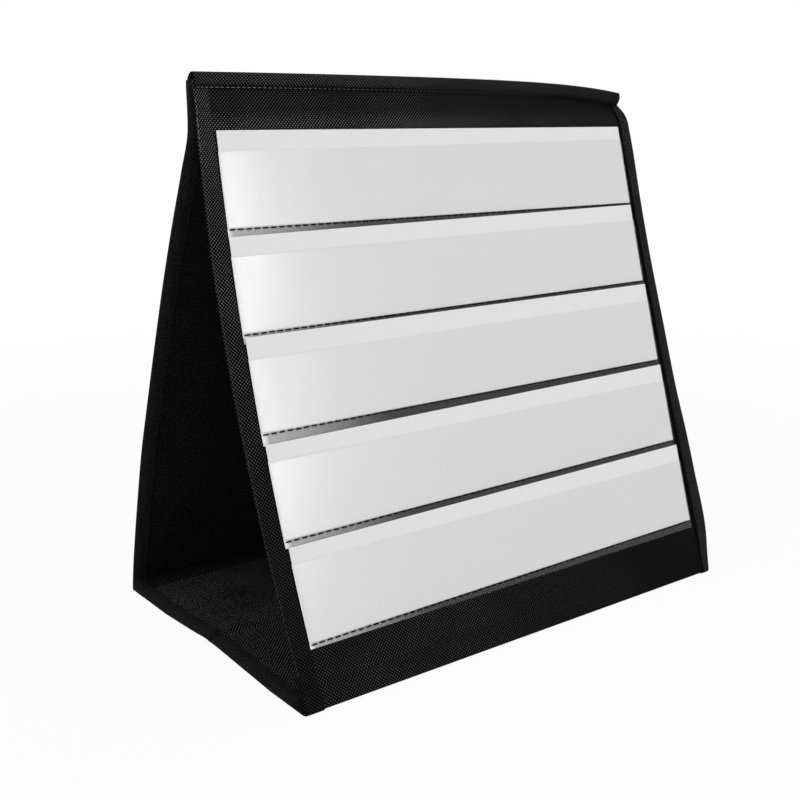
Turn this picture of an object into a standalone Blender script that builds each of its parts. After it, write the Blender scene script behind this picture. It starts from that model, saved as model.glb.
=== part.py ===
"""Tabletop pocket chart: a folding A-frame of fabric-covered boards with five card pockets.

Metres, +Z up. X runs along the ridge, Y from the front foot to the rear foot, and the
origin is on the table under the ridge. The rear half is the front half turned half a
turn about Z, so every outline is drawn once, in the front half's Y and Z.
"""
import math

import bmesh
import bpy
from mathutils import Matrix, Vector

# Overall sizes
width = 0.310
base_depth = 0.200
panel_length = 0.330

# Sheets and the gap that touching sheets keep
fabric = 0.0006
tape = 0.0006
board = 0.0018
gap = 0.0003

# Bindings
base_tape_width = 0.0085
ridge_tape_height = 0.009
rear_bulge = 0.0095
overrun = 0.004

# Pockets and cards
row_count = 5
row_pitch = 0.053
lowest_floor = 0.035
pocket_width = 0.291
pocket_offset = 0.001
film = 0.0003
film_height = 0.0405
hem_height = 0.0055
card = 0.0005
card_height = 0.0503
card_play = 0.0008
slide_clearance = 0.0003
thread = 0.0004
thread_height = 0.0010
thread_drop = 0.0016

# The lean of a panel, and the depths of its layers below the outermost plane
half_depth = base_depth / 2
lean = math.asin(half_depth / panel_length)
cover_depth = tape + gap
board_depth = cover_depth + fabric + gap
lining_depth = board_depth + board + gap
panel_depth = lining_depth + fabric + gap + tape

# The base's layers, upwards from the table
base_board_level = fabric + gap
base_lining_level = base_board_level + board + gap
base_height = base_lining_level + fabric + gap + tape

# Fold axes, as places in the front half's Y and Z
foot_axis_level = base_height + gap / 2
foot_axis_place = -half_depth + foot_axis_level * math.tan(lean) + (panel_depth + gap / 2) / math.cos(lean)
crease_axis_level = -gap / 2

# The bulge follows share * (1 - share) ** 2, which peaks a third of the way up at 4/27
bulge_steps = 14
bulge_peak_share = 27 / 4


def clear_scene():
    for item in list(bpy.data.objects):
        bpy.data.objects.remove(item, do_unlink=True)


def new_collection(name):
    group = bpy.data.collections.new(name)
    bpy.context.scene.collection.children.link(group)
    return group


def finish(name, colour, roughness, alpha=1.0):
    material = bpy.data.materials.new(name)
    material.use_nodes = True
    shader = material.node_tree.nodes["Principled BSDF"]
    shader.inputs["Base Color"].default_value = (*colour, 1.0)
    shader.inputs["Roughness"].default_value = roughness
    shader.inputs["Metallic"].default_value = 0.0
    shader.inputs["Alpha"].default_value = alpha
    return material


def pivot(name, place, level, turned):
    """An empty on a fold axis. A turned one belongs to the rear half."""
    empty = bpy.data.objects.new(name, None)
    parts.objects.link(empty)
    turn = Matrix.Rotation(math.pi if turned else 0.0, 4, "Z")
    empty.matrix_world = turn @ Matrix.Translation((0.0, place, level))
    empty["place"] = place
    empty["level"] = level
    return empty


def on_panel(depth, along):
    """Y and Z of a point at a depth below the panel's outer plane and a distance up its slope."""
    return (
        -half_depth + along * math.sin(lean) + depth * math.cos(lean),
        along * math.cos(lean) - depth * math.sin(lean),
    )


def floor_end(depth):
    """How far up the slope the table's plane meets this depth."""
    return depth * math.tan(lean)


def ridge_end(depth):
    """How far up the slope this depth meets the mitre under the ridge."""
    return (half_depth - gap / 2 - depth * math.cos(lean)) / math.sin(lean)


def panel_side(depth, start, end, bulge):
    """Points up one side of a sheet. A bulge pushes them outwards, alike at every depth."""
    low = floor_end(panel_depth)
    high = ridge_end(panel_depth)
    points = [on_panel(depth, start)]
    for step in range(bulge_steps + 1 if bulge else 0):
        share = step / bulge_steps
        along = low + (high - low) * share
        lift = bulge * bulge_peak_share * share * (1 - share) ** 2
        if start < along < end:
            points.append(on_panel(depth - lift, along))
    return points + [on_panel(depth, end)]


def sheet_outline(near, far, end, bulge):
    """The side view of a layer between two depths, from the table to an end below the ridge."""
    mitre_depth = (half_depth - gap / 2 - end * math.sin(lean)) / math.cos(lean)
    outer = panel_side(near, floor_end(near), min(end, ridge_end(near)), bulge)
    inner = panel_side(far, floor_end(far), min(end, ridge_end(far)), bulge)
    corner = [on_panel(mitre_depth, end)] if near < mitre_depth < far else []
    return outer + corner + inner[::-1]


def channel_outline(near, far, end, bulge):
    """The side view of the slot inside a folded tape, running out past both of its ends."""
    outer = panel_side(near, floor_end(near) - overrun, end + overrun, bulge)
    inner = panel_side(far, floor_end(far) - overrun, end + overrun, bulge)
    return outer + inner[::-1]


def strip(name, outline, left, right, parent, material, group):
    """An outline in Y and Z, extruded from left to right. The rear half swaps the two sides."""
    curve = bpy.data.curves.new(name, "CURVE")
    curve.dimensions = "2D"
    curve.fill_mode = "BOTH"
    curve.extrude = (right - left) / 2
    line = curve.splines.new("POLY")
    line.points.add(len(outline) - 1)
    for point, (place, level) in zip(line.points, outline):
        point.co = (place - parent["place"], level - parent["level"], 0.0, 1.0)
    line.use_cyclic_u = True
    curve.materials.append(material)
    item = bpy.data.objects.new(name, curve)
    group.objects.link(item)
    item.parent = parent
    item.rotation_euler = (math.pi / 2, 0.0, math.pi / 2)
    item.location = ((left + right) / 2, 0.0, 0.0)
    return item


def as_mesh(item):
    """The curve object made a mesh object of the same name, place and parent."""
    bpy.context.view_layer.update()
    graph = bpy.context.evaluated_depsgraph_get()
    mesh = bpy.data.meshes.new_from_object(item.evaluated_get(graph))
    shape = bmesh.new()
    shape.from_mesh(mesh)
    bmesh.ops.remove_doubles(shape, verts=shape.verts, dist=gap / 100)
    bmesh.ops.recalc_face_normals(shape, faces=shape.faces)
    shape.to_mesh(mesh)
    shape.free()
    name, parent, group = item.name, item.parent, item.users_collection[0]
    place = item.matrix_world.copy()
    bpy.data.objects.remove(item, do_unlink=True)
    solid = bpy.data.objects.new(name, mesh)
    group.objects.link(solid)
    solid.parent = parent
    solid.matrix_world = place
    return solid


def folded_tape(name, block, channel, edge, inner_edge, parent):
    """A tape folded over a side edge: a bar with a slot cut along it, which leaves a U."""
    inwards = math.copysign(1.0, inner_edge - edge)
    bar_sides = sorted((edge, inner_edge))
    slot_sides = sorted((edge + inwards * tape, inner_edge + inwards * overrun))
    bar = as_mesh(strip(name, block, *bar_sides, parent, tape_black, parts))
    slot = as_mesh(strip(name + "_slot", channel, *slot_sides, parent, tape_black, cutters))
    slot.hide_render = True
    slot.display_type = "WIRE"
    cut = bar.modifiers.new("slot", "BOOLEAN")
    cut.operation = "DIFFERENCE"
    cut.solver = "EXACT"
    cut.object = slot
    return bar


def side_names(turned):
    """Names of the sides at low and high X, as the half's own frame has them."""
    return ("right", "left") if turned else ("left", "right")


def panel(end_name, parent, turned, bulge, low_edge, high_edge):
    """Cover, board, lining, side tapes and ridge tape of one leaning panel."""
    sheet_edge = width / 2 - tape - gap
    apex = ridge_end(0.0)
    layers = (
        ("cover", cover_depth, fabric, fabric_black),
        ("board", board_depth, board, board_grey),
        ("lining", lining_depth, fabric, fabric_black),
    )
    for layer, depth, thickness, material in layers:
        outline = sheet_outline(depth, depth + thickness, apex, bulge)
        strip(f"{end_name}_{layer}", outline, -sheet_edge, sheet_edge, parent, material, parts)
    tape_end = panel_length - ridge_tape_height - gap
    block = sheet_outline(0.0, panel_depth, tape_end, bulge)
    channel = channel_outline(tape, panel_depth - tape, tape_end, bulge)
    for side, edge, inner in zip(side_names(turned), (-width / 2, width / 2), (low_edge, high_edge)):
        folded_tape(f"{end_name}_tape_{side}", block, channel, edge, inner, parent)
    ridge_start = panel_length - ridge_tape_height
    ridge = [
        on_panel(0.0, ridge_start),
        on_panel(0.0, apex),
        on_panel(tape, ridge_end(tape)),
        on_panel(tape, ridge_start),
    ]
    strip(f"ridge_tape_{end_name}", ridge, -width / 2, width / 2, parent, tape_black, parts)


def base_half(end_name, parent, turned):
    """Cover, board, lining and side tapes of one half of the base."""
    foot = foot_axis_place + gap / 2
    crease = -gap / 2
    tape_edge = width / 2 - base_tape_width
    sheet_edge = width / 2 - tape - gap
    layers = (
        ("cover", 0.0, fabric, tape_edge - gap, fabric_black),
        ("board", base_board_level, board, sheet_edge, board_grey),
        ("lining", base_lining_level, fabric, sheet_edge, fabric_black),
    )
    for layer, level, thickness, edge, material in layers:
        outline = box_outline(foot, crease, level, level + thickness)
        strip(f"base_{end_name}_{layer}", outline, -edge, edge, parent, material, parts)
    block = box_outline(foot, crease, 0.0, base_height)
    channel = box_outline(foot - overrun, crease + overrun, tape, base_height - tape)
    for side, sign in zip(side_names(turned), (-1.0, 1.0)):
        name = f"base_{end_name}_tape_{side}"
        folded_tape(name, block, channel, sign * width / 2, sign * tape_edge, parent)


def box_outline(start, end, low, high):
    return [(start, low), (end, low), (end, high), (start, high)]


def off_cover(out, along):
    """Y and Z of a point in front of the front cover."""
    return on_panel(cover_depth - out, along)


def pocket(number, floor, parent):
    """A film with its hem sewn flat, a fold under the card, and a front that leans off the panel."""
    film_start = gap + card + gap
    rise = film_height * math.tan(card_lean)
    outline = [
        off_cover(gap, floor - hem_height),
        off_cover(gap + film, floor - hem_height),
        off_cover(gap + film, floor - film),
        off_cover(film_start + film, floor - film),
        off_cover(film_start + film + rise, floor + film_height),
        off_cover(film_start + rise, floor + film_height),
        off_cover(film_start, floor),
        off_cover(gap, floor),
    ]
    low = pocket_offset - pocket_width / 2
    high = pocket_offset + pocket_width / 2
    strip(f"pocket_film_{number}", outline, low, high, parent, film_clear, parts)
    thread_out = gap + film + gap
    stitches = [
        off_cover(thread_out, floor - thread_drop - thread_height),
        off_cover(thread_out + thread, floor - thread_drop - thread_height),
        off_cover(thread_out + thread, floor - thread_drop),
        off_cover(thread_out, floor - thread_drop),
    ]
    strip(f"pocket_thread_{number}", stitches, low + card_play, high - card_play, parent, thread_black, parts)


def loose_card(number, floor):
    """A card standing on its pocket's fold. Its origin is at its lower edge, on its sliding line."""
    card_width = pocket_width - 2 * card_play
    shape = bmesh.new()
    bmesh.ops.create_cube(shape, size=1.0)
    bmesh.ops.scale(shape, vec=(card_width, card, card_height), verts=shape.verts)
    bmesh.ops.translate(shape, vec=(0.0, -card / 2, card_height / 2), verts=shape.verts)
    mesh = bpy.data.meshes.new(f"card_{number}")
    shape.to_mesh(mesh)
    shape.free()
    mesh.materials.append(card_white)
    item = bpy.data.objects.new(f"card_{number}", mesh)
    parts.objects.link(item)
    place, level = off_cover(gap, floor + gap)
    item.location = Vector((pocket_offset, place, level))
    item.rotation_euler = (card_lean - lean, 0.0, 0.0)


clear_scene()
parts = new_collection("tabletop_pocket_chart")
cutters = new_collection("cutters")
cutters.hide_render = True

fabric_black = finish("fabric_black", (0.012, 0.012, 0.013), 0.85)
tape_black = finish("tape_black", (0.016, 0.016, 0.017), 0.7)
board_grey = finish("board_grey", (0.25, 0.24, 0.22), 0.9)
film_clear = finish("film_clear", (0.85, 0.87, 0.88), 0.12, alpha=0.25)
card_white = finish("card_white", (0.82, 0.82, 0.82), 0.5)
thread_black = finish("thread_black", (0.01, 0.01, 0.01), 0.6)

# A card drawn up passes in front of the film above it
card_lean = math.atan((gap + card + film + slide_clearance) / row_pitch)

front_body = pivot("front_panel_frame", -half_depth, 0.0, False)
base_front_body = pivot("front_foot_axis", foot_axis_place, foot_axis_level, False)
base_rear_body = pivot("crease_axis", 0.0, crease_axis_level, True)
rear_body = pivot("rear_foot_axis", foot_axis_place, foot_axis_level, True)

pocket_low = pocket_offset - pocket_width / 2
pocket_high = pocket_offset + pocket_width / 2
panel("front", front_body, False, 0.0, pocket_low - gap, pocket_high + gap)
plain_edge = width / 2 - base_tape_width
panel("rear", rear_body, True, rear_bulge, -plain_edge, plain_edge)
base_half("front", base_front_body, False)
base_half("rear", base_rear_body, True)
for row in range(row_count):
    row_floor = lowest_floor + (row_count - 1 - row) * row_pitch
    pocket(row + 1, row_floor, front_body)
    loose_card(row + 1, row_floor)
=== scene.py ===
import math

import bpy
import numpy as np
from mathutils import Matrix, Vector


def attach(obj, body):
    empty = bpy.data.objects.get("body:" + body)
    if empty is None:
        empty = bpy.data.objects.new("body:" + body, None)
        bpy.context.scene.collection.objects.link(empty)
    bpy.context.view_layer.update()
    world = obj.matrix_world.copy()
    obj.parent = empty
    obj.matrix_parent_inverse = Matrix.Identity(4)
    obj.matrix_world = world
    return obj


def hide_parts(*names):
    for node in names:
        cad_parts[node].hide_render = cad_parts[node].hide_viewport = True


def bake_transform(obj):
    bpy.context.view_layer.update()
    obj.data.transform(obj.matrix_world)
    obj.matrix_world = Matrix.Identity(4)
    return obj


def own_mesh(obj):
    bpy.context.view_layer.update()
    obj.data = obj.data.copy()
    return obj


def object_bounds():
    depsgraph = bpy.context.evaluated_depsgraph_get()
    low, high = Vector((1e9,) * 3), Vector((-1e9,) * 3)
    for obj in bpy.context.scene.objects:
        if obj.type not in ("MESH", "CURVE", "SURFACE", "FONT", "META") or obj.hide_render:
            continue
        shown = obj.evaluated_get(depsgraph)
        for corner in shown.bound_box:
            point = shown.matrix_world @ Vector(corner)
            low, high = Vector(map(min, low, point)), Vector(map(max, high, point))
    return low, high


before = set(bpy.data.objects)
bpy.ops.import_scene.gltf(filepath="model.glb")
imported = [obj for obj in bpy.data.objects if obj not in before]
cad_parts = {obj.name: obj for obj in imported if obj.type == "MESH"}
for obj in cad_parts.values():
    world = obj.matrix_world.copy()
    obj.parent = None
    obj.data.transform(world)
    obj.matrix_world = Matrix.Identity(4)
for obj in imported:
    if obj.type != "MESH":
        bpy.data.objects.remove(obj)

cad_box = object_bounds()

# Boards. Four sheets of grey board stiffen the two panels and the two halves of the base.
# They are die-cut and lie loose between the cover and the lining. The leaning panels have
# taken a set: the front one sags inwards and the rear one bellies out.
half_width = cad_box[1].x
half_depth = cad_box[1].y
panel_length = 0.330
sin_lean = half_depth / panel_length
cos_lean = math.sqrt(1 - sin_lean**2)

tape = 0.0003
cloth = 0.0004
board = 0.0018
layer_gap = 0.00005
cover_depth = tape + layer_gap
board_depth = cover_depth + cloth + layer_gap
lining_depth = board_depth + board + layer_gap
inner_tape_depth = lining_depth + cloth + layer_gap
panel_depth = inner_tape_depth + tape

front_bow_left = 0.0091
front_bow_right = 0.0018
front_barrel = 0.0025
right_edge_start_share = 0.973
right_edge_up_shares = (0.0, 0.03, 0.08, 0.20, 0.28, 0.36, 0.50, 0.65, 0.75, 0.88, 0.93, 0.962, 1.0)
right_edge_spread = 0.0056
right_edge_spread_shares = (0.0, 0.29, 0.89, 1.0, 0.93, 0.68, 0.59, 0.48, 0.57, 0.77, 0.61, 0.0, 0.0)
left_edge_inset = 0.0027
left_edge_reach = 0.012
left_edge_up_shares = (0.0, 0.60, 0.70, 0.80, 0.90, 0.94, 1.0)
left_edge_inset_shares = (0.0, 0.0, 0.15, 0.55, 0.85, 1.0, 0.4)

rear_bulge = 0.0093
rear_bulge_up_shares = (0.0, 0.035, 0.124, 0.212, 0.298, 0.384, 0.467, 0.547, 0.624,
                        0.699, 0.772, 0.842, 0.908, 0.94, 0.97, 1.0)
rear_bulge_rise_shares = (0.45, 0.61, 0.83, 0.95, 1.0, 0.86, 0.70, 0.52, 0.32,
                          0.06, -0.26, -0.61, -0.86, -0.59, -0.24, -0.03)
rear_bulge_right_share = 0.6
rear_left_spread = 0.0005

board_start = 0.015
board_end = 0.300
board_inset = 0.0045
board_border = 0.002
board_columns = 40
board_rows = 50
board_light = (0.25, 0.24, 0.22, 1)
board_dark = (0.20, 0.19, 0.17, 1)
crease_angle = math.radians(50)


def curve_through(shares, values, where):
    """Cubic Hermite curve through (share, value) pairs. Its slope at a pair is a mean of the slopes
    on both sides."""
    shares = np.asarray(shares, float)
    values = np.asarray(values, float)
    slopes = np.gradient(values, shares)
    first = np.clip(np.searchsorted(shares, where, side="right") - 1, 0, len(shares) - 2)
    step = shares[first + 1] - shares[first]
    t = np.clip((where - shares[first]) / step, 0, 1)
    start = (1 + 2 * t) * (1 - t) ** 2 * values[first] + t * (1 - t) ** 2 * step * slopes[first]
    end = t**2 * (3 - 2 * t) * values[first + 1] + t**2 * (t - 1) * step * slopes[first + 1]
    return start + end


def smooth(start, end, where):
    """0 before start and 1 after end, with an S between: 3t^2 - 2t^3."""
    t = np.clip((where - start) / (end - start), 0, 1)
    return t * t * (3 - 2 * t)


def front_place(x, s, n):
    """Front panel: the point at x, s up the slope and n out of its plane. The plane sags by
    bow * 4u(1-u) over the share u of the slope, and its right edge is pressed out sideways."""
    x, s, n = np.broadcast_arrays(*(np.asarray(v, float) for v in (x, s, n)))
    across = (x + half_width) / (2 * half_width)
    up = np.clip(s / panel_length, 0, 1)
    arch = 4 * up * (1 - up)
    at_edge = smooth(right_edge_start_share, 1.0, across)
    spread = right_edge_spread * curve_through(right_edge_up_shares, right_edge_spread_shares, up)
    n = n - (front_bow_left * (1 - across) + front_bow_right * across) * arch
    at_left = 1 - smooth(-half_width, left_edge_reach - half_width, x)
    inset = left_edge_inset * curve_through(left_edge_up_shares, left_edge_inset_shares, up)
    x = x - front_barrel * (1 - across) * arch + spread * at_edge + inset * at_left
    return np.stack([x, -half_depth + s * sin_lean - n * cos_lean, s * cos_lean + n * sin_lean], -1)


def rear_place(x, s, n):
    """Rear panel: as front_place, turned to face +Y, with its own bulge up the slope."""
    x, s, n = np.broadcast_arrays(*(np.asarray(v, float) for v in (x, s, n)))
    across = (x + half_width) / (2 * half_width)
    rise = rear_bulge * curve_through(rear_bulge_up_shares, rear_bulge_rise_shares, s / panel_length)
    n = n + rise * (1 - across + rear_bulge_right_share * across)
    x = x - rear_left_spread * (1 - across)
    return np.stack([x, half_depth - s * sin_lean + n * cos_lean, s * cos_lean + n * sin_lean], -1)


def join_panel(piece, end_name, node=None):
    """The piece rides on a panel, and on the rear panel it gets a mesh of its own."""
    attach(piece, f"{end_name}_panel")
    if end_name == "rear":
        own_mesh(piece)
    if node:
        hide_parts(node)


def marks(start, end, count, border):
    """Places from start to end, evenly spread, with one more a border's width inside each end."""
    inner = np.linspace(start + border, end - border, count - 2)
    return np.concatenate([[start], inner, [end]])


def mesh_piece(name, points, faces, spots, finish, sharp_angle=None):
    """An object at the origin whose mesh has these points, faces and UV places. Edges that turn by
    more than the sharp angle are shaded sharp."""
    mesh = bpy.data.meshes.new(name)
    mesh.from_pydata(points.tolist(), [], faces)
    corners = np.empty(len(mesh.loops), np.int32)
    mesh.loops.foreach_get("vertex_index", corners)
    mesh.uv_layers.new(name="metres").data.foreach_set("uv", spots[corners].astype(np.float32).ravel())
    mesh.shade_smooth()
    if sharp_angle:
        mesh.set_sharp_from_angle(angle=sharp_angle)
    mesh.materials.append(finish)
    piece = bpy.data.objects.new(name, mesh)
    bpy.context.scene.collection.objects.link(piece)
    return piece


def sheet_mesh(name, outer, inner, flat, finish, butts=()):
    """A closed sheet between two grids of points, joined by a round rim: one row of points midway
    through the sheet, half its thickness beyond it. A butt, at the grid's first or last column,
    is cut square. The UV map holds metres on the sheet."""
    rows, columns = outer.shape[:2]
    count = rows * columns
    index = np.arange(count).reshape(rows, columns)
    ring = np.concatenate([index[0, :-1], index[:-1, -1], index[-1, :0:-1], index[:0:-1, 0]])
    i, j = np.divmod(ring, columns)
    thickness = np.linalg.norm(outer[i, j] - inner[i, j], axis=1, keepdims=True)
    through = (outer[i, j] - inner[i, j]) / thickness
    away = outer[i, j] - outer[np.clip(i, 1, rows - 2), np.clip(j, 1, columns - 2)]
    away = away - through * np.sum(away * through, axis=1, keepdims=True)
    away = away / np.linalg.norm(away, axis=1, keepdims=True)
    square = np.zeros(len(ring), bool)
    for column in butts:
        square |= j == column % columns
    rim = (outer[i, j] + inner[i, j]) / 2 + away * thickness / 2 * ~square[:, None]
    points = np.concatenate([outer.reshape(-1, 3), inner.reshape(-1, 3), rim])
    spots = np.concatenate([flat.reshape(-1, 2), flat.reshape(-1, 2), flat[i, j]])
    a, b = index[:-1, :-1].ravel(), index[1:, :-1].ravel()
    c, d = index[1:, 1:].ravel(), index[:-1, 1:].ravel()
    middle = 2 * count + np.arange(len(ring))
    after, middle_after = np.roll(ring, -1), np.roll(middle, -1)
    faces = np.concatenate([
        np.stack([a, b, c, d], 1),
        np.stack([a, d, c, b], 1) + count,
        np.stack([ring, after, middle_after, middle], 1),
        np.stack([middle, middle_after, after + count, ring + count], 1),
    ])
    facing = np.cross(points[b] - points[a], points[d] - points[a])
    if np.sum(facing * (points[a] - points[a + count])) < 0:
        faces = faces[:, ::-1]
    return mesh_piece(name, points, faces.tolist(), spots, finish, crease_angle)


class Strand:
    """One output of a material's nodes. Arithmetic on it adds Math nodes."""

    def __init__(self, output):
        self.output = output

    def node(self, kind, settings, inputs, output=0):
        """A new node of this material: settings first, then the values or links of its sockets."""
        tree = self.output.id_data
        made = tree.nodes.new(kind)
        for name, value in settings.items():
            setattr(made, name, value)
        for name, value in inputs.items():
            if isinstance(value, Strand):
                tree.links.new(value.output, made.inputs[name])
            else:
                made.inputs[name].default_value = value
        return Strand(made.outputs[output])

    def maths(self, operation, first, second=0.0):
        return self.node("ShaderNodeMath", {"operation": operation}, {0: first, 1: second})

    def __add__(self, other):
        return self.maths("ADD", self, other)

    def __radd__(self, other):
        return self.maths("ADD", other, self)

    def __sub__(self, other):
        return self.maths("SUBTRACT", self, other)

    def __rsub__(self, other):
        return self.maths("SUBTRACT", other, self)

    def __mul__(self, other):
        return self.maths("MULTIPLY", self, other)

    def __rmul__(self, other):
        return self.maths("MULTIPLY", other, self)

    def __pow__(self, other):
        return self.maths("POWER", self, other)

    def cos(self):
        return self.maths("COSINE", self)

    def parts(self):
        """The three numbers of this place."""
        apart = self.node("ShaderNodeSeparateXYZ", {}, {0: self})
        return [Strand(output) for output in apart.output.node.outputs]

    def mask(self, start, end):
        """0 below start and 1 above end, with a smooth step between."""
        settings = {"interpolation_type": "SMOOTHSTEP"}
        return self.node("ShaderNodeMapRange", settings, {"Value": self, "From Min": start, "From Max": end})

    def mix(self, low, high):
        """The colour low where this is 0 and high where it is 1."""
        return self.node("ShaderNodeMix", {"data_type": "RGBA"}, {0: self, 6: low, 7: high}, output=2)

    def noise(self, scale, detail=2.0):
        """Noise at this place. Its scale is in features per metre."""
        return self.node("ShaderNodeTexNoise", {}, {"Vector": self, "Scale": scale, "Detail": detail})


def new_finish(name, **constants):
    """A material, its Principled shader and where its patterns are read: the UV map, in metres."""
    finish = bpy.data.materials.new(name)
    finish.use_nodes = True
    shader = finish.node_tree.nodes["Principled BSDF"]
    for socket, value in constants.items():
        shader.inputs[socket.replace("_", " ")].default_value = value
    place = Strand(finish.node_tree.nodes.new("ShaderNodeUVMap").outputs[0])
    return finish, shader, place


def feed(shader, **strands):
    """Links strands to the shader's sockets of those names."""
    for socket, strand in strands.items():
        strand.output.id_data.links.new(strand.output, shader.inputs[socket.replace("_", " ")])


def bump(height, distance, strength=1.0):
    """The normal of a surface that stands height * distance proud."""
    return height.node("ShaderNodeBump", {}, {"Height": height, "Distance": distance, "Strength": strength})


def board_finish():
    """Grey board: flecks of pulp on a mottled ground."""
    finish, shader, place = new_finish("grey_board", Roughness=0.9)
    mottle = place.noise(180.0)
    fleck = place.noise(2400.0).mask(0.62, 0.72)
    tone = 0.7 * mottle + 0.3 * fleck
    feed(shader, Base_Color=tone.mix(board_dark, board_light))
    feed(shader, Normal=bump(place.noise(3000.0), 0.0001))
    return finish


grey_board = board_finish()


def plain_sheet(name, place, across, along, depth, thickness, finish):
    """A sheet over a grid of x by distance along, from depth to depth + thickness under the outer plane."""
    x, s = np.meshgrid(across, along, indexing="ij")
    flat = np.stack([x, s], -1)
    return sheet_mesh(name, place(x, s, -depth), place(x, s, -depth - thickness), flat, finish)


board_edge = half_width - board_inset
board_across = marks(-board_edge, board_edge, board_columns, board_border)
board_along = marks(board_start, board_end, board_rows, board_border)
for end_name, place in (("front", front_place), ("rear", rear_place)):
    name = f"{end_name}_stiffener"
    stiffener = plain_sheet(name, place, board_across, board_along, board_depth, board, grey_board)
    join_panel(stiffener, end_name, f"{end_name}_board")

# Base. Two more boards, each between two cloths, lie on the table. They meet at a crease midway
# between the feet, where the cloth is creased inwards so that the base folds upwards. Its left
# edge has lifted where the crease crosses it.
crease_lift = 0.0033
crease_lift_reach = 0.12
crease_lift_place_shares = (-0.65, -0.316, -0.048, 0.045, 0.142, 0.55)
crease_lift_rise_shares = (0.0, 0.52, 0.91, 0.97, 0.73, 0.0)
crease_dip_share = 0.55
crease_dip_reach = 0.0024
base_left_spread = 0.0017
base_edge_reach = 0.03
base_board_start = 0.015
base_board_end = 0.004
base_board_rows = 24


def base_place(x, y, n):
    """Base: the point at x and y, n out of its underside. n is negative upwards, as on the panels.
    The crease draws the layers together by the share d e^(-(y/r)^2)."""
    x, y, n = np.broadcast_arrays(*(np.asarray(v, float) for v in (x, y, n)))
    near_left = 1 - smooth(-half_width, crease_lift_reach - half_width, x)
    lift = crease_lift * curve_through(crease_lift_place_shares, crease_lift_rise_shares, y / half_depth)
    spread = base_left_spread * (1 - smooth(-half_width, base_edge_reach - half_width, x))
    n = n * (1 - crease_dip_share * np.exp(-((y / crease_dip_reach) ** 2)))
    return np.stack([x - spread, y, lift * near_left - n], -1)


def join_base(piece, end_name, node):
    """The piece rides on one half of the base, and gets a mesh of its own."""
    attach(piece, f"base_{end_name}")
    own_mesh(piece)
    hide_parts(node)


for end_name, turn in (("front", -1), ("rear", 1)):
    name = f"base_{end_name}_stiffener"
    foot = half_depth - base_board_start
    along = marks(turn * base_board_end, turn * foot, base_board_rows, turn * board_border)
    stiffener = plain_sheet(name, base_place, board_across, along, board_depth, board, grey_board)
    join_base(stiffener, end_name, f"base_{end_name}_board")

# Covers and linings. Black spun-bonded cloth, its fibres welded in a lattice of small dots.
# One sheet wraps the outside and one lines the inside, and both are sewn into the bindings.
dot_pitch = 0.00194
dot_row_pitch = 0.00204
dot_ground = (0.0014, 0.0014, 0.0015)
# Where the cloth's painted shade falls: it is painted darker towards its right, its foot and its top.
right_shade_start = -0.11
right_shade_end = 0.15
foot_shade_start = 0.04
foot_shade_end = 0.32
top_shade_start = 0.299
top_shade_end = 0.309
ridge_height_left = 0.3118
ridge_sag = 0.0042
ridge_end_sag = 0.0046
header_end = 0.003
lining_end = 0.006
taper_start = 0.296
taper_end = 0.314
corner_start = 0.2965
corner_radius = 0.0205
corner_share = 0.7
corner_fade = 0.045
cloth_inset = 0.0012
cloth_border = 0.0015
cloth_columns = 72
cloth_rows = 80
cloth_end_share = 0.006
base_rows = 44
base_end_share = 0.004
base_crowding = 1.5
fold_reach = 0.0135
edge_pinch_share = 0.62
edge_pinch_reach = 0.0045


def dotted_cloth(name, dot_highlight, right_shade_share=0.0, low=(foot_shade_start, foot_shade_end, 0.0), top_shade_share=0.0, ground=1.0):
    """Spun-bonded cloth. Pillows stand on the centred lattice where cos(2 pi x/p) cos(2 pi y/q) is
    near 1, and fibres cross them. The pillows' lighter colour is a painted highlight, and painted
    shade darkens the cloth towards its right, its foot and its top."""
    finish, shader, place = new_finish(name, Roughness=0.8, Specular_IOR_Level=0.04)
    wander = place.noise(700.0)
    x, y, _ = place.parts()
    warp = 0.35 * (wander - 0.5)
    lattice = (x * (2 * math.pi / dot_pitch) + warp).cos() * (y * (2 * math.pi / dot_row_pitch) + warp).cos()
    fibres = place.noise(5200.0, 4.0)
    pillow = lattice.mask(0.1, 0.95)
    uneven = 0.4 + 1.2 * place.noise(420.0)
    cloudy = 0.3 + 1.4 * place.noise(22.0)
    start, end, share = low
    # Painted shade: the cloth is painted darker towards its right, its foot and its top.
    painted_shade_right = 1.0 - right_shade_share * x.mask(right_shade_start, right_shade_end)
    painted_shade_foot = 1.0 - share + share * y.mask(start, end)
    painted_shade_top = 1.0 - top_shade_share * y.mask(top_shade_start, top_shade_end)
    tone = pillow * uneven * cloudy * (painted_shade_right * painted_shade_foot * painted_shade_top) * (0.5 + 1.0 * fibres)
    # The dots' lighter colour is a painted highlight on the welded pillows.
    low_colour = (*(ground * c for c in dot_ground), 1)
    feed(shader, Base_Color=tone.mix(low_colour, (dot_highlight, dot_highlight, dot_highlight * 1.03, 1)))
    feed(shader, Roughness=0.92 - 0.3 * pillow)
    feed(shader, Normal=bump(pillow + 0.25 * fibres, 0.0002))
    return finish


# Each copy of the cloth has its dots' painted highlight set to its own level. The lining's dim one is painted
# shade inside the chart.
spun_black = dotted_cloth("spun_black", 0.205, right_shade_share=0.7, low=(foot_shade_start, foot_shade_end, 0.68), top_shade_share=0.62)
spun_inside_shaded = dotted_cloth("spun_inside_shaded", 0.064)
spun_base = dotted_cloth("spun_base", 0.185, ground=0.15)


def ridge_height(x):
    """Top of the chart at x: it falls by sag t^2 + end sag t^8 over the share t of the width."""
    t = np.clip((x + half_width) / (2 * half_width), 0, None)
    return ridge_height_left - ridge_sag * t**2 - ridge_end_sag * t**8


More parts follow.
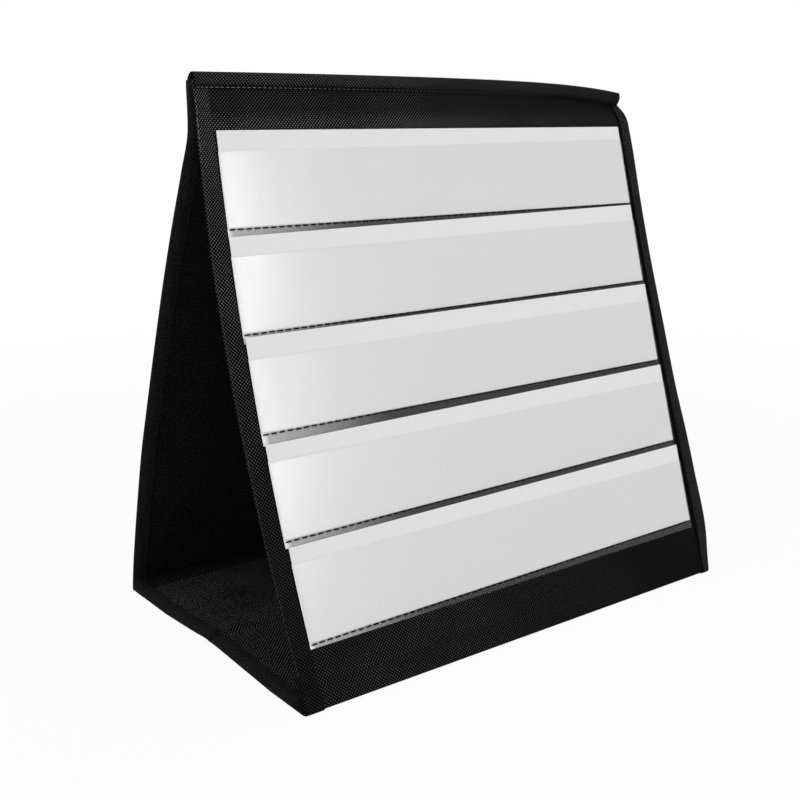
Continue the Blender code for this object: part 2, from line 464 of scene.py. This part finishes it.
def up_to(ends):
    """For each x, distances up the slope from the fold at the foot to that x's end."""
    share = marks(0.0, 1.0, cloth_rows, cloth_end_share)
    return fold_reach + (ends[:, None] - fold_reach) * share[None, :]


def pinched(x):
    """The share of the thickness that is left at x. The edges are sewn flat, where the board has ended."""
    inwards = half_width - np.abs(x)
    return edge_pinch_share + (1 - edge_pinch_share) * smooth(0.0, edge_pinch_reach, inwards)


def inner_rise(s):
    """How far the inner layers close up towards the cover, where the board has ended."""
    return (lining_depth - board_depth) * smooth(taper_start, taper_end, s)


def rounded(x, s):
    """x with the header's round right corner. The edge moves in by r - sqrt(r^2 - h^2) at the height h
    above the corner's start, and the move fades out away from it."""
    height = np.clip(s - corner_start, 0, corner_radius * corner_share)
    inset = corner_radius - np.sqrt(corner_radius**2 - height**2)
    return x - inset * smooth(half_width - corner_fade, half_width, x)


cloth_edge = half_width - cloth_inset
cloth_across = marks(-cloth_edge, cloth_edge, cloth_columns, cloth_border)
base_shares = marks(0.0, 1.0, base_rows, base_end_share) ** base_crowding
header_top = ridge_height(cloth_across) / cos_lean
for end_name, place, turn in (("front", front_place, -1), ("rear", rear_place, 1)):
    for layer, depth, end in (("cover", cover_depth, header_end), ("lining", lining_depth, lining_end)):
        s = up_to(header_top - end)
        x = rounded(cloth_across[:, None], s)
        level = -depth * pinched(x) if layer == "cover" else (-depth + inner_rise(s)) * pinched(x)
        outer, inner = place(x, s, level), place(x, s, level - cloth)
        cut = sheet_mesh(f"{end_name}_{layer}_cloth", outer, inner, np.stack([x, s], -1),
                         spun_black if layer == "cover" else spun_inside_shaded, butts=[0])
        join_panel(cut, end_name, f"{end_name}_{layer}")
    for layer, depth in (("cover", cover_depth), ("lining", lining_depth)):
        y = (place(cloth_across, 0, 0)[:, 1:2] - turn * fold_reach) * base_shares
        x = cloth_across[:, None] + 0 * y
        level = -depth * pinched(x)
        outer, inner = base_place(x, y, level), base_place(x, y, level - cloth)
        cut = sheet_mesh(f"base_{end_name}_{layer}_cloth", outer, inner, np.stack([x, y], -1),
                         spun_black if layer == "cover" else spun_base, butts=[0, -1])
        join_base(cut, end_name, f"base_{end_name}_{layer}")

# Side bindings. A strip of the same cloth is folded over each side edge and sewn through.
# Each leg lies flat on the cloth, and the fold makes a soft roll along the edge.
front_legs = {"left": 0.0103, "right": 0.0066}
plain_leg = 0.0085
leg_border = 0.0006
leg_points = 14
turn_points = 12
back_points = 10
roll_height = 0.0006
# Width of the painted shadow along the binding's outer leg edge.
edge_shadow_end = 0.0016
flap_height_left = 0.0081
flap_height_right = 0.0090
binding_rows = 90
binding_border = 0.002
bind_ground = (0.0006, 0.0006, 0.0006, 1)
bind_top = (0.026, 0.026, 0.027, 1)


def binding_cloth():
    """Binding: the same cloth pressed smooth, with a faint lengthwise grain. A painted shadow darkens
    the binding along the outer leg's edge."""
    finish, shader, place = new_finish("binding_black", Roughness=0.7, Specular_IOR_Level=0.03)
    stretched = place.node("ShaderNodeMapping", {}, {"Vector": place, "Scale": (1.0, 0.6, 1.0)})
    grain = stretched.noise(1300.0, 3.0).mask(0.36, 0.64)
    cloudy = place.noise(60.0)
    in_from_edge = place.parts()[0]
    # Painted shadow: the binding is darkened along the outer leg's edge.
    tone = (0.7 * grain + 0.45 * cloudy) * in_from_edge.mask(0.5 * edge_shadow_end, edge_shadow_end)
    feed(shader, Base_Color=tone.mix(bind_ground, bind_top))
    feed(shader, Roughness=0.68 + 0.12 * grain)
    feed(shader, Normal=bump(grain, 0.00006))
    return finish


binding_black = binding_cloth()
# The front's left strip is painted darker towards its foot, as painted shade.
spun_strip = dotted_cloth("spun_strip", 0.18, low=(foot_shade_start, foot_shade_end, 0.8))


def binding(name, place, side_name, on_front, along, depth, lengths=None, roll=0.0, butts=()):
    """A tape folded round a side edge. Its profile runs in from the outer leg, round a half circle and
    back along the inner leg; the sheets are pinched together there, where the board has ended.
    The profile is carried along the edge. The dots show on the front's left tape alone."""
    side = -1 if side_name == "left" else 1
    outer_leg = front_legs[side_name] if on_front else plain_leg
    finish = spun_strip if on_front and side < 0 else binding_black
    radius = panel_depth * edge_pinch_share / 2
    leg = np.concatenate([[outer_leg, outer_leg - leg_border],
                          np.linspace(outer_leg - 2 * leg_border, radius, leg_points)])
    turn = np.linspace(0, math.pi, turn_points)[1:-1]
    back = np.concatenate([np.linspace(radius, plain_leg - leg_border, back_points), [plain_leg]])
    inwards = np.concatenate([leg, radius - radius * np.sin(turn), back])
    level = np.concatenate([0 * leg, (1 - np.cos(turn)) / 2, 0 * back + 1])
    lift = np.concatenate([0 * leg + 1, np.cos(turn), 0 * back - 1])
    push = np.concatenate([0 * leg, np.sin(turn), 0 * back])
    pinch = pinched(half_width - inwards)
    on_leg = np.arange(len(inwards)) < len(leg)
    swell = roll * (np.sin(np.pi * np.clip(inwards / outer_leg, 0, 1)) * on_leg)[:, None]
    length = np.concatenate([[0], np.cumsum(np.hypot(np.diff(inwards), np.diff(level) * 2 * radius))])
    s = along[None, :]
    depth = np.broadcast_to(depth, along.shape)[None, :]
    x = side * (half_width - inwards[:, None]) + 0 * s
    n = -(level * pinch)[:, None] * depth + swell
    under_x = x - side * push[:, None] * tape
    under_n = n - lift[:, None] * tape
    if place is front_place:
        x, under_x = rounded(x, s), rounded(under_x, s)
    outer = place(x, s + 0 * x, n)
    inner = place(under_x, s + 0 * x, under_n)
    lengths = along if lengths is None else lengths
    flat = np.stack(np.broadcast_arrays(length[:, None], lengths[None, :]), -1)
    strip = sheet_mesh(name, outer, inner, flat, finish, butts)
    float(np.ptp(lengths))
    return strip


for end_name, place in (("front", front_place), ("rear", rear_place)):
    for side_name, side in (("left", -1), ("right", 1)):
        top = float(ridge_height(side * half_width)) / cos_lean - flap_height_left / 2
        along = marks(fold_reach, top, binding_rows, binding_border)
        roll = roll_height * smooth(fold_reach, 2 * fold_reach, along)[None, :] if side > 0 else 0.0
        strip = binding(f"{end_name}_binding_{side_name}", place, side_name, end_name == "front", along,
                        panel_depth - inner_rise(along), roll=roll, butts=[0])
        join_panel(strip, end_name, f"{end_name}_tape_{side_name}")

for end_name, place, turn in (("front", front_place, -1), ("rear", rear_place, 1)):
    for side_name, side in (("left", -1), ("right", 1)):
        foot = float(place(side * half_width, 0, 0)[1]) - turn * fold_reach
        strip = binding(f"base_{end_name}_binding_{side_name}", base_place, side_name, False,
                        foot * base_shares, panel_depth, butts=[0, -1])
        join_base(strip, end_name, f"base_{end_name}_tape_{side_name}")

# Fabric hinges. At both feet the boards stop short, and the cloth and its bindings bend by
# themselves, with no pin or wire. The stretch that bends is a piece of its own here, and turns
# smoothly from panel to base.
fold_round = 0.0026
hinge_steps = 26
bend_end = (0.088, 0.001)


def foot_fold(place, turn):
    """The place function of a foot's fold. Its second argument is a share of the way round: down the
    panel to 1/4, a quadratic Bezier curve round the corner of panel and base, and along the base from 3/4."""

    def fold(x, share, n):
        x, share, n = np.broadcast_arrays(*(np.asarray(v, float) for v in (x, share, n)))
        up = -n * (1 + sin_lean) / cos_lean
        corner = place(x, up, n)
        corner_y = corner[..., 1].copy()
        corner[..., 2] = -n
        s = fold_reach + (up + fold_round - fold_reach) * np.clip(4 * share, 0, 1)
        start_y = corner_y - turn * fold_round
        end_y = place(x, 0, 0)[..., 1] - turn * fold_reach
        y = start_y + (end_y - start_y) * np.clip(4 * share - 3, 0, 1)
        t = np.clip(2 * share - 0.5, 0, 1)[..., None]
        start, end = place(x, up + fold_round, n), base_place(x, start_y, n)
        bend = (1 - t) ** 2 * start + 2 * t * (1 - t) * corner + t**2 * end
        on_base = np.where(share[..., None] > 0.75, base_place(x, y, n), bend)
        return np.where(share[..., None] < 0.25, place(x, s, n), on_base)

    return fold


def arc_lengths(points):
    """Distances along a line of points."""
    return np.concatenate([[0], np.cumsum(np.linalg.norm(np.diff(points, axis=0), axis=-1))])


hinge_shares = np.linspace(0, 1, hinge_steps)
for end_name, place, turn in (("front", front_place, -1), ("rear", rear_place, 1)):
    fold = foot_fold(place, turn)
    end = (0, turn * bend_end[0], bend_end[1])
    for layer, depth in (("cover", cover_depth), ("lining", lining_depth)):
        x, share = cloth_across[:, None], hinge_shares[None, :]
        lengths = arc_lengths(fold(0.0, hinge_shares, -depth))
        flat = np.stack(np.broadcast_arrays(x, lengths[None, :]), -1)
        level = -depth * pinched(x)
        outer, inner = fold(x, share, level), fold(x, share, level - cloth)
        strip = sheet_mesh(f"{end_name}_foot_hinge_{layer}", outer, inner, flat,
                           spun_black if layer == "cover" else spun_inside_shaded, butts=[0, -1])
        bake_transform(strip)
        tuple(end)
    for side_name in ("left", "right"):
        lengths = arc_lengths(fold(0.0, hinge_shares, 0.0))
        strip = binding(f"{end_name}_foot_hinge_binding_{side_name}", fold, side_name, end_name == "front",
                        hinge_shares, panel_depth, lengths=lengths, butts=[0, -1])
        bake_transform(strip)
        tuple(end)

# Pockets. Five strips of clear film are each sewn to the cover along one line. Below the seam
# the film lies flat on the cloth as a hem, and above it it stands open. The seams were guided
# by hand, so no two rows are quite alike.
row_count = 5
row_pitch = 0.0529
lowest_floor = 0.0349
seam_rises_left = (0.0016, 0.0006, 0.0020, -0.0005, -0.0008)
seam_rises_right = (-0.0009, 0.0009, 0.0017, 0.0015, 0.0015)
row_shifts = (0.0009, -0.0002, -0.0002, -0.0002, 0.0004)
pocket_left = -0.1444
pocket_right = 0.1464
film = 0.0002
film_height = 0.0403
film_columns = 60
film_border = 0.0008
film_border_half = 0.0004
hem_heights = (0.0044, 0.0044, 0.0044, 0.0044, 0.0034)
seam_drop = 0.0006
bend_start_rise = 0.0002 - seam_drop
bend_end_rise = 0.0012
open_start_rise = 0.003
hem_points = 3
bend_points = 9
open_points = 16
open_reach = 0.0008
card = 0.0003
card_lean = 0.0264
film_ripple = 0.00012
long_ripple = 23
short_ripple = 61
ripple_turn = 2.1
film_tint = (0.979, 0.979, 0.979, 1)
film_mirror_share = 0.036
rubbed_share = 0.32
rubbed_low = (0.12, 0.145)
rubbed_high = (0.17, 0.27)
hem_dull_share = 0.55
hem_haze = 0.28
# The haze's painted highlight: it thins out towards the right and is thick along the film's left end.
haze_highlight_fade_share = 0.96
haze_highlight_fade = (-0.15, -0.06)
end_highlight_haze = 0.6
hem_end_reach = (0.001, 0.004)
end_highlight_band = (0.0004, 0.0009)
hem_edge_up = (0.0001, 0.0007)


def film_finish():
    """Clear film: a faint grey tint, and a mirror-like share that grows towards a grazing view and is
    less where the film has been rubbed. The hem is hazy, and its haze is painted heavier towards the
    left as a painted highlight. A band of the same haze along the film's left end is a painted highlight too."""
    finish, shader, place = new_finish("clear_film", Metallic=1.0, Base_Color=(0.98, 0.98, 0.98, 1))
    feed(shader, Roughness=0.18 + 0.05 * place.noise(30.0))
    across, along, _ = place.parts()
    rubbed = along.mask(*rubbed_low) * (1.0 - along.mask(*rubbed_high))
    on_hem = place.node("ShaderNodeAttribute", {"attribute_name": "hem"}, {}, output="Fac")
    dulled = (1.0 - hem_dull_share * on_hem) * (1.0 - rubbed_share * rubbed)
    grazing = place.node("ShaderNodeLayerWeight", {}, {"Blend": 0.5}, output="Facing")
    share = film_mirror_share * dulled + (1 - film_mirror_share) * grazing**5
    clear = place.node("ShaderNodeBsdfTransparent", {}, {"Color": film_tint})
    mirrored = place.node("ShaderNodeMixShader", {}, {0: share, 1: clear, 2: Strand(shader.outputs[0])})
    # Painted highlight: the haze is painted heaviest at the left and along the film's left end.
    painted_highlight_falloff = 1.0 - haze_highlight_fade_share * across.mask(*haze_highlight_fade)
    at_end = 1.0 - across.mask(*(pocket_left + reach for reach in hem_end_reach))
    hazy = on_hem * (hem_haze * painted_highlight_falloff + end_highlight_haze * at_end)
    haze = place.node("ShaderNodeBsdfDiffuse", {}, {"Color": (0.97, 0.97, 0.97, 1)})
    mixed = place.node("ShaderNodeMixShader", {}, {0: hazy, 1: mirrored, 2: haze})
    tree = finish.node_tree
    tree.links.new(mixed.output, tree.nodes["Material Output"].inputs["Surface"])
    return finish


def row_floor(row):
    """Even height up the slope of a row's seam. Row 0 is at the top."""
    return lowest_floor + (row_count - 1 - row) * row_pitch


def seam_rise(row, x):
    """How far a row's seam stands above its even height at x: it runs straight from end to end."""
    across = (x - pocket_left) / (pocket_right - pocket_left)
    return seam_rises_left[row] * (1 - across) + seam_rises_right[row] * across


clear_film = film_finish()
film_across = marks(pocket_left, pocket_right, film_columns, film_border)
card_face = -cover_depth + layer_gap + card
for row in range(row_count):
    hem_height = hem_heights[row]
    rise = np.concatenate([
        [-hem_height, -hem_height + film_border_half],
        np.linspace(-hem_height + film_border, -seam_drop, hem_points),
        np.linspace(bend_start_rise, bend_end_rise, bend_points),
        np.linspace(open_start_rise, film_height - film_border, open_points),
        [film_height],
    ])
    open_share = smooth(-open_reach, open_reach, rise)
    front = card_face + layer_gap + np.clip(rise, 0, None) * card_lean
    flat_on = -cover_depth + layer_gap
    level = flat_on + (front - flat_on) * open_share
    x, s = np.meshgrid(film_across, row_floor(row) + rise, indexing="ij")
    near_seam = 1 - np.where(rise > 0, rise / film_height, -rise / hem_height)
    s = s + seam_rise(row, x) * near_seam[None, :]
    x = x + row_shifts[row]
    wave = film_ripple * np.sin(x * short_ripple + row * ripple_turn) * np.sin(x * long_ripple + row)
    n = level[None, :] + np.abs(wave * np.clip(rise / film_height, 0, 1))
    pocket = sheet_mesh(f"pocket_{row + 1}", front_place(x, s, n + film), front_place(x, s, n),
                        np.stack([x, s], -1), clear_film)
    # The hem attribute also covers a narrow band at the film's left end, for a painted highlight of haze
    # there.
    at_left = 1 - smooth(*end_highlight_band, film_across - pocket_left)
    on_hem = np.maximum.outer(at_left, 1 - smooth(*hem_edge_up, rise)).ravel()
    hem = pocket.data.attributes.new("hem", "FLOAT", "POINT")
    hem.data.foreach_set("value", np.resize(on_hem, len(pocket.data.vertices)).astype(np.float32))
    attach(pocket, "front_panel")
    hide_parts(f"pocket_film_{row + 1}")

# Seams. Black polyester thread, machine sewn: a row of long stitches holds each pocket, and
# finer ones run along the front's left edge and the ridge tape.
stitch_pitch = 0.0048
stitch_share = 0.76
stitch_radius = 0.00042
stitch_sides = 7
stitch_ring_shares = (-0.48, -0.36, -0.14, 0.14, 0.36, 0.48)
stitch_arch_share = 0.6
stitch_flat_share = 0.8
seam_start = 0.0002
seam_shortfall = 0.0008
seam_wobble = 0.00008
wobble_waves = 410
normal_step = 0.001
fine_pitch = 0.0031
fine_radius = 0.0002
edge_seam_inset = 0.0004
edge_seam_start = 0.02
edge_seam_length = 0.295
edge_seam_sink = 0.0003
thread_colour = (0.006, 0.006, 0.006)
# The fine seams' painted sheen: its colour, and where it fades lower down and towards the right.
sheen_colour = (0.34, 0.34, 0.345)
sheen_heights = (0.26, 0.29)
sheen_end = (-0.13, -0.05)


def thread_finish(name, colour, gloss, sheen_falloff_share=0.0):
    """Polyester thread: fine twisted filaments. A sheen can be painted into its colour, brightest high
    up and at the left, fading lower down and towards the right."""
    finish, shader, place = new_finish(name, Specular_IOR_Level=gloss)
    along, around, _ = place.parts()
    twist = (along * 9000.0 + around * 14000.0).cos() * 0.5 + 0.5
    spot = place.node("ShaderNodeTexCoord", {}, {}, output="Object")
    x, _, z = spot.parts()
    # Painted sheen: the thread's colour fades lower down and towards the right.
    high = 1.0 - sheen_falloff_share + sheen_falloff_share * z.mask(*sheen_heights)
    left = 1.0 - 0.8 * sheen_falloff_share * x.mask(*sheen_end)
    bright = twist * high * left
    feed(shader, Base_Color=bright.mix((*(0.05 * c for c in colour), 1), (*colour, 1)))
    feed(shader, Roughness=0.45 + 0.2 * twist)
    return finish


thread_black = thread_finish("thread_black", thread_colour, 0.05)
# The fine seams' bright colour is a painted sheen.
thread_sheen = thread_finish("thread_sheen", sheen_colour, 0.2, sheen_falloff_share=0.95)


def stitches(name, starts, ends, normals, radius, finish):
    """One capsule for each start and end point. A capsule's radius is r * sqrt(1 - |2a|^5) at the
    share a of its length from its middle, and its middle stands off the cloth."""
    a = np.array(stitch_ring_shares)
    swell = np.sqrt(1 - np.abs(2 * a) ** 5)
    angle = np.arange(stitch_sides) * 2 * math.pi / stitch_sides
    ring_a = np.repeat(a, stitch_sides)
    ring_b = np.outer(swell, np.cos(angle)).ravel()
    ring_c = np.outer(swell, np.sin(angle)).ravel()
    unit = np.concatenate([[[-0.5, 0, 0]], np.stack([ring_a, ring_b, ring_c], 1), [[0.5, 0, 0]]])
    count = len(unit)
    ring = 1 + np.arange(len(a) * stitch_sides).reshape(len(a), stitch_sides)
    after = np.roll(ring, -1, axis=1)
    quads = np.stack([ring[:-1], after[:-1], after[1:], ring[1:]], -1).reshape(-1, 4)
    caps = np.concatenate([
        np.stack([0 * after[0], after[0], ring[0]], -1),
        np.stack([0 * ring[-1] + count - 1, ring[-1], after[-1]], -1),
    ])
    axis = ends - starts
    length = np.linalg.norm(axis, axis=1, keepdims=True)
    axis = axis / length
    side = np.cross(axis, normals)
    side = side / np.linalg.norm(side, axis=1, keepdims=True)
    up = np.cross(side, axis)
    middle = (starts + ends) / 2
    arch = stitch_arch_share * radius * (1 - (2 * unit[:, 0]) ** 2)
    points = (middle[:, None, :] + axis[:, None, :] * unit[None, :, 0:1] * length[:, None, :]
              + side[:, None, :] * unit[None, :, 1:2] * radius
              + up[:, None, :] * (unit[None, :, 2:3] * radius * stitch_flat_share + arch[None, :, None]))
    offset = (np.arange(len(starts)) * count)[:, None, None]
    faces = [*(quads[None] + offset).reshape(-1, 4).tolist(), *(caps[None] + offset).reshape(-1, 3).tolist()]
    spots = np.stack([unit[:, 0] * stitch_pitch, np.arctan2(unit[:, 2], unit[:, 1]) * radius], 1)
    return mesh_piece(name, points.reshape(-1, 3), faces, np.tile(spots, (len(starts), 1)), finish)


def seam(name, place, route, length, pitch, radius, finish):
    """Stitches along a route, a function of the distance along the seam that gives x, s and n."""
    first = np.arange(int(length / pitch)) * pitch + 0.1 * pitch
    starts = place(*route(first))
    ends = place(*route(first + stitch_share * pitch))
    x, s, n = route(first + pitch / 2)
    normals = place(x, s, n + normal_step) - place(x, s, n)
    return stitches(name, starts, ends, normals, radius, finish)


def pocket_route(row):
    """The route of a row's seam, which wobbles by w sin(k d) at the distance d."""

    def route(distance):
        x = pocket_left + seam_start + distance
        wobble = seam_wobble * np.sin(distance * wobble_waves + row)
        s = row_floor(row) - seam_drop + seam_rise(row, x) + wobble
        return x + row_shifts[row], s, film - cover_depth + 3 * layer_gap

    return route


for row in range(row_count):
    line = seam(f"pocket_seam_{row + 1}", front_place, pocket_route(row),
                pocket_right - pocket_left - seam_shortfall, stitch_pitch, stitch_radius, thread_black)
    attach(line, "front_panel")
    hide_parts(f"pocket_thread_{row + 1}")


def edge_route(distance):
    """The route up the front's left edge."""
    x = -half_width + edge_seam_inset + 0 * distance
    return x, edge_seam_start + distance, -edge_seam_sink + 0 * distance


edge_line = seam("front_edge_seam", front_place, edge_route, edge_seam_length, fine_pitch, fine_radius,
                 thread_sheen)
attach(edge_line, "front_panel")

# Cards. Loose white cards, one in each pocket. They are cut from smooth coated stock, and
# their upper edges stand free above the film.
card_height = 0.0494
card_play = 0.0005
card_foot = 0.0002
card_border = 0.0008
card_columns = 50
card_rows = 22


def card_finish():
    """Coated card: white with a very faint mottle and a soft gloss."""
    finish, shader, place = new_finish("white_card", Specular_IOR_Level=0.3)
    mottle = place.noise(240.0, 3.0)
    feed(shader, Base_Color=mottle.mix((0.77, 0.77, 0.77, 1), (0.81, 0.81, 0.81, 1)))
    feed(shader, Roughness=0.5 + 0.1 * mottle)
    feed(shader, Normal=bump(place.noise(2500.0), 0.00002))
    return finish


white_card = card_finish()
card_across = marks(pocket_left + card_play, pocket_right - card_play, card_columns, card_border)
card_rise = marks(card_foot, card_height, card_rows, card_border)
for row in range(row_count):
    x, s = np.meshgrid(card_across, row_floor(row) + card_rise, indexing="ij")
    s = s + seam_rise(row, x)
    x = x + row_shifts[row]
    n = card_face + card_rise[None, :] * card_lean
    flat = np.stack([x, s + row], -1)
    outer, inner = front_place(x, s, n), front_place(x, s, n - card)
    sheet = sheet_mesh(f"white_card_{row + 1}", outer, inner, flat, white_card)
    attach(sheet, f"card_{row + 1}")
    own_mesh(sheet)
    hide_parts(f"card_{row + 1}")

# Ridge tape. One strip folded over the ridge and sewn through front and rear, with a cut end
# that stands past each side. It is made in two halves that meet along the top of the fold.
tape_ends_low = (-0.1541, 0.1485)
tape_ends_middle = (-0.1533, 0.1517)
tape_ends_high = (-0.1519, 0.1573)
tape_seat = 0.0002
lip_lift = 0.0002
tape_puff = 0.0009
tape_puff_turn = 0.6 * math.pi
ridge_round = 0.0045
ridge_gap = 0.00005
ridge_columns = 90
ridge_end_share = 0.005
lead_points = 12
lead_end_share = 0.08
ridge_points = 12
ridge_seam_inset = 0.0006
ridge_seam_rise = 0.0003

# The ridge tape is painted darker towards its right and along its lower edge, as painted shade.
spun_flap = dotted_cloth("spun_flap", 0.138, right_shade_share=0.6, low=(0.0006, 0.0035, 0.92))


def between(ends, share):
    """The value at a share of the way from the first end to the second."""
    return ends[0] + (ends[1] - ends[0]) * share


def ridge_half(end_name, place, turn):
    """Half of the ridge tape: up the panel from its lower edge, then a quadratic Bezier curve whose
    corner is above the panel's plane at the height of the ridge."""
    lead = marks(0.0, 1.0, lead_points, lead_end_share)[None, :]
    across = marks(0.0, 1.0, ridge_columns, ridge_end_share)[:, None]
    low, middle, high = (between(ends, across) for ends in (tape_ends_low, tape_ends_middle, tape_ends_high))
    x = low + (middle - low) * lead
    height = ridge_height(high)
    top = height / cos_lean
    flap_height = between((flap_height_left, flap_height_right), across)
    s = top - flap_height + (flap_height - ridge_round) * lead
    lip = lip_lift + tape_puff * np.sin(tape_puff_turn * lead)

    def line(out):
        panel = place(x, s, tape_seat + out + lip)
        start = panel[:, -1:, :]
        corner = place((middle + high) / 2, top, tape_seat + out + lip[:, -1:])
        end = np.stack([high, 0 * high + turn * ridge_gap, height + out - tape], -1)
        t = np.linspace(0, 1, ridge_points)[None, 1:, None]
        bend = (1 - t) ** 2 * start + 2 * t * (1 - t) * corner + t**2 * end
        return np.concatenate([panel, bend], axis=1)

    outer, inner = line(tape), line(0.0)
    along = arc_lengths(outer[len(outer) // 2])
    flat = np.stack(np.broadcast_arrays(x[:, :1], along[None, :]), -1)
    strip = sheet_mesh(f"ridge_binding_{end_name}", outer, inner, flat, spun_flap, butts=[-1])
    join_panel(strip, end_name, f"ridge_tape_{end_name}")

    def route(distance):
        x = tape_ends_low[0] + ridge_seam_inset + distance
        height = between((flap_height_left, flap_height_right), distance / (2 * half_width))
        return x, ridge_height(x) / cos_lean - height + ridge_seam_rise, tape_seat + tape + lip_lift

    length = tape_ends_low[1] - tape_ends_low[0] - 2 * ridge_seam_inset
    line_of_thread = seam(f"ridge_seam_{end_name}", place, route, length,
                          fine_pitch, fine_radius, thread_sheen)
    join_panel(line_of_thread, end_name)


ridge_half("front", front_place, -1)
ridge_half("rear", rear_place, 1)

# Studio. A pale floor runs back into a white surround. A small soft box at the front right gives
# the films their highlight, a broad weak one stands at the left, and a large one hangs overhead.
floor_reach = 6.0
floor_near = 0.35
floor_far = 1.1
floor_seen_share = 0.93
fill = 0.30
key_strength = 13.6
key_size = (0.42, 0.50)
key_azimuth = 15.0
key_elevation = 19.5
key_distance = 1.7
side_strength = 2.2
side_size = (1.0, 0.8)
side_azimuth = -75.0
side_elevation = 48.0
side_distance = 1.6
top_strength = 0.7
top_size = (2.4, 2.4)
top_height = 1.9


def floor_finish():
    """Pale floor: it takes the object's shadow near by and fades to plain white further off."""
    finish = bpy.data.materials.new("pale_floor")
    finish.use_nodes = True
    tree = finish.node_tree
    tree.nodes.clear()
    place = Strand(tree.nodes.new("ShaderNodeTexCoord").outputs["Object"])
    distance = place.node("ShaderNodeVectorMath", {"operation": "LENGTH"}, {0: place}, output="Value")
    far = distance.mask(floor_near, floor_far)
    sight = place.node("ShaderNodeLightPath", {}, {}, output="Is Camera Ray")
    lit = place.node("ShaderNodeBsdfDiffuse", {}, {"Color": (0.95, 0.95, 0.95, 1)})
    glow = place.node("ShaderNodeEmission", {}, {"Color": (1, 1, 1, 1), "Strength": 1.0})
    seen = sight * (floor_seen_share + (1 - floor_seen_share) * far)
    mixed = place.node("ShaderNodeMixShader", {}, {0: seen, 1: lit, 2: glow})
    output = tree.nodes.new("ShaderNodeOutputMaterial")
    tree.links.new(mixed.output, output.inputs["Surface"])
    return finish


floor_mesh = bpy.data.meshes.new("floor")
floor_corners = ((-1, -1), (1, -1), (1, 1), (-1, 1))
floor_mesh.from_pydata([(floor_reach * x, floor_reach * y, 0) for x, y in floor_corners], [], [(0, 1, 2, 3)])
floor_mesh.materials.append(floor_finish())
studio_floor = bpy.data.objects.new("floor", floor_mesh)
bpy.context.scene.collection.objects.link(studio_floor)

surround = bpy.data.worlds.new("surround")
surround.use_nodes = True
bpy.context.scene.world = surround
sky = surround.node_tree
background = sky.nodes["Background"]
background.inputs["Color"].default_value = (1, 1, 1, 1)
rays = Strand(sky.nodes.new("ShaderNodeLightPath").outputs["Is Camera Ray"])
glossy = Strand(rays.output.node.outputs["Is Glossy Ray"])
through = Strand(rays.output.node.outputs["Is Transmission Ray"])
seen = rays.maths("MAXIMUM", rays.maths("MAXIMUM", rays, glossy), through)
sky.links.new((fill + (1 - fill) * seen).output, background.inputs["Strength"])


def soft_box(name, azimuth, elevation, distance, size, strength):
    """A rectangular lamp that faces the object. Its strength is its brightness, white being 1."""
    lamp = bpy.data.lights.new(name, "AREA")
    lamp.shape = "RECTANGLE"
    lamp.size, lamp.size_y = size
    lamp.energy = strength * math.pi * size[0] * size[1]
    holder = bpy.data.objects.new(name, lamp)
    bpy.context.scene.collection.objects.link(holder)
    a, e = math.radians(azimuth), math.radians(elevation)
    holder.location = (distance * math.sin(a) * math.cos(e), -distance * math.cos(a) * math.cos(e),
                       half_width + distance * math.sin(e))
    holder.rotation_euler = (math.pi / 2 - e, 0, a)


soft_box("front_box", key_azimuth, key_elevation, key_distance, key_size, key_strength)
soft_box("side_box", side_azimuth, side_elevation, side_distance, side_size, side_strength)
soft_box("overhead_box", 0.0, 90.0, top_height, top_size, top_strength)

# Camera. It stands to the front left, a little below the ridge's height, and looks slightly
# down at the chart.
camera_place = (-0.4369, -0.5482, 0.2951)
camera_turns = (75.9177, 0.1093, -37.1424)
camera = bpy.data.cameras.new("camera")
camera.sensor_width = 36.0
camera.lens = 52.857
camera_object = bpy.data.objects.new("camera", camera)
bpy.context.scene.collection.objects.link(camera_object)
camera_object.location = camera_place
camera_object.rotation_euler = [math.radians(turn) for turn in camera_turns]
bpy.context.scene.camera = camera_object
bpy.context.scene.view_settings.view_transform = "Standard"
